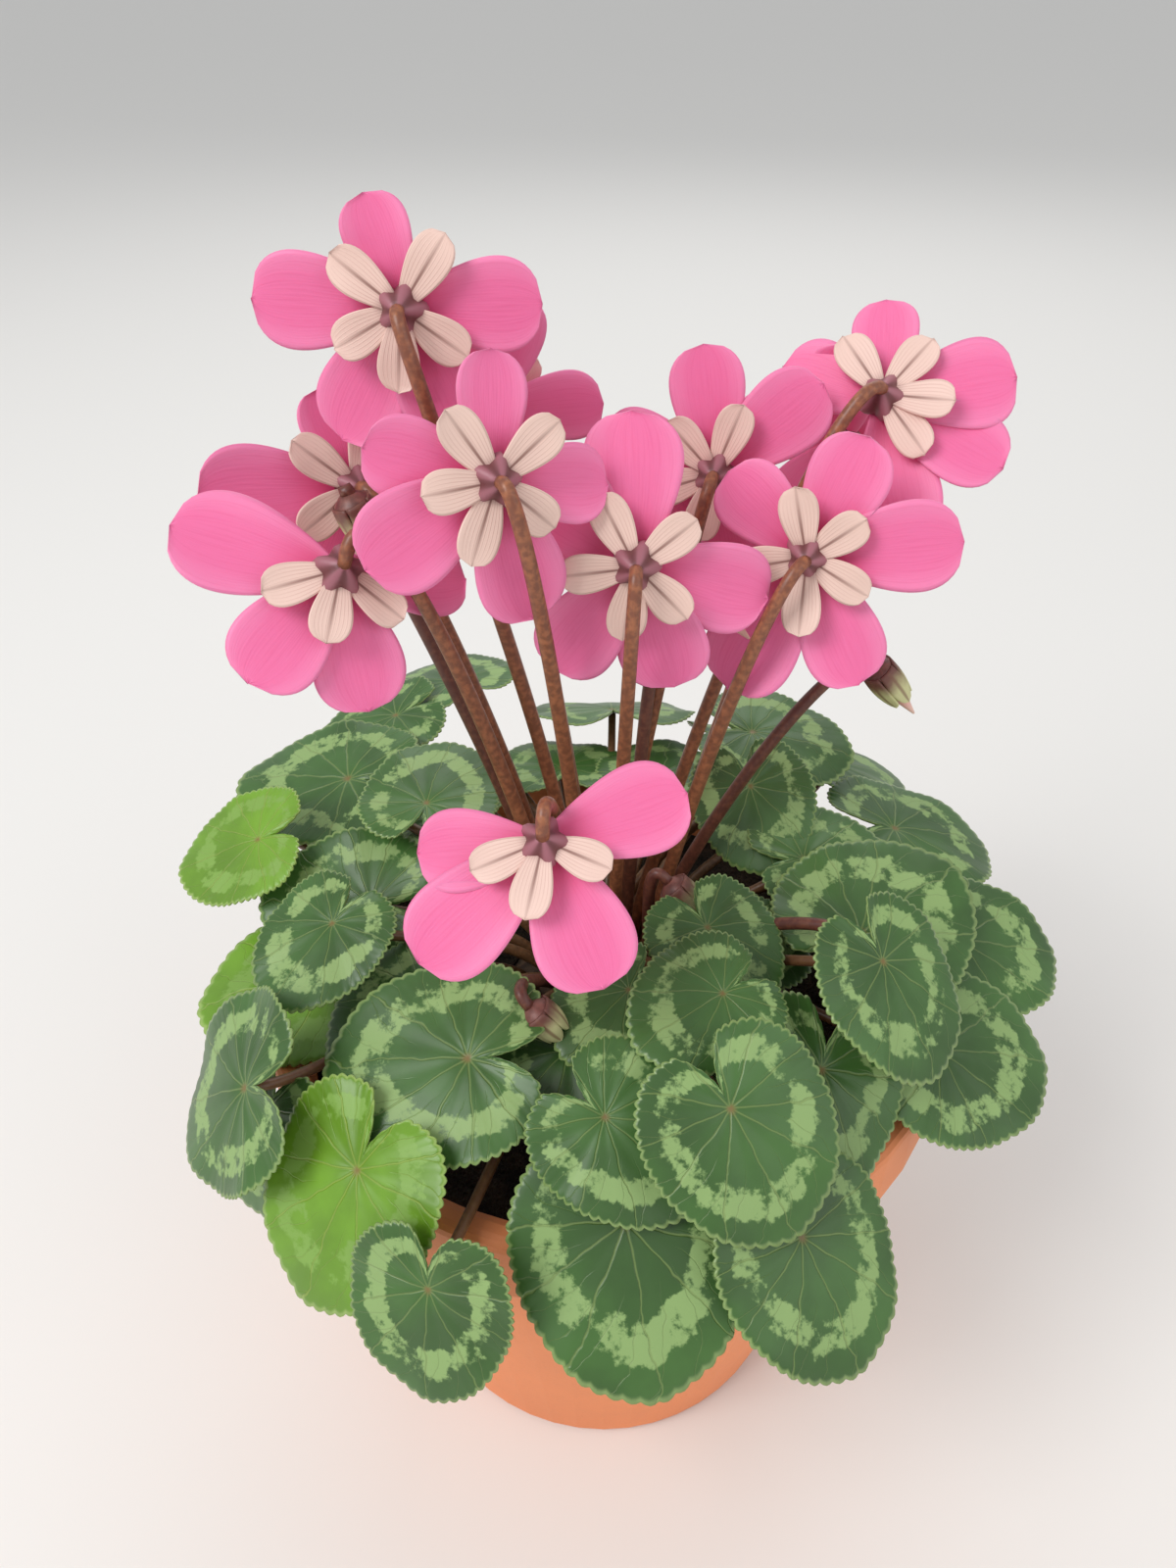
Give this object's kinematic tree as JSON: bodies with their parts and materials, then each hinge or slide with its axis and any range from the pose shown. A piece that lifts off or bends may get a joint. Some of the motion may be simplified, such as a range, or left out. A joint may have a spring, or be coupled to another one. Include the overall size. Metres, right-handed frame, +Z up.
{
  "type": "potted cyclamen",
  "caption": "Potted plant with marbled heart-shaped leaves and pink flowers on bare brown stems, growing from a tuber in a terracotta pot.",
  "frame": {"origin": "centre of the pot's underside, which rests on the table", "axes": "+Z up along the pot's axis; the side the plant is seen from faces -Y; +X is to the viewer's right"},
  "size_m": [0.1981, 0.195, 0.2737],
  "materials": {
    "terracotta": "matt terracotta",
    "potting_mix": "loose dark growing medium",
    "tuber": "corky brown skin",
    "leaf_green": "satin leaf, marbled green and silver",
    "leaf_fresh": "satin leaf, bright yellow-green",
    "stem_brown": "smooth red-brown stem",
    "petal_pink": "soft satin petal",
    "bud_cream": "smooth cream-green bud"
  },
  "bodies": {
    "root": {"bud_01": "bud_cream", "bud_02": "bud_cream", "bud_03": "bud_cream", "bud_04": "bud_cream", "flower_head_01": "petal_pink", "flower_head_02": "petal_pink", "flower_head_03": "petal_pink", "flower_head_04": "petal_pink", "flower_head_05": "petal_pink", "flower_head_06": "petal_pink", "flower_head_07": "petal_pink", "flower_head_08": "petal_pink", "flower_head_09": "petal_pink", "flower_head_10": "petal_pink", "flower_stem_01": "stem_brown", "flower_stem_02": "stem_brown", "flower_stem_03": "stem_brown", "flower_stem_04": "stem_brown", "flower_stem_05": "stem_brown", "flower_stem_06": "stem_brown", "flower_stem_07": "stem_brown", "flower_stem_08": "stem_brown", "flower_stem_09": "stem_brown", "flower_stem_10": "stem_brown", "leaf_01": "leaf_green", "leaf_02": "leaf_green", "leaf_03": "leaf_green", "leaf_04": "leaf_green", "leaf_05": "leaf_green", "leaf_06": "leaf_green", "leaf_07": "leaf_green", "leaf_08": "leaf_green", "leaf_09": "leaf_fresh", "leaf_10": "leaf_green", "leaf_11": "leaf_green", "leaf_13": "leaf_fresh", "leaf_14": "leaf_green", "leaf_15": "leaf_green", "leaf_16": "leaf_green", "leaf_17": "leaf_green", "leaf_18": "leaf_green", "leaf_19": "leaf_fresh", "leaf_20": "leaf_green", "leaf_21": "leaf_green", "leaf_22": "leaf_green", "leaf_23": "leaf_green", "leaf_24": "leaf_green", "leaf_25": "leaf_green", "leaf_26": "leaf_green", "leaf_27": "leaf_green", "leaf_28": "leaf_green", "leaf_29": "leaf_green", "leaf_30": "leaf_green", "pot": "terracotta", "potting_mix": "potting_mix", "tuber": "tuber"}
  },
  "joints": []
}
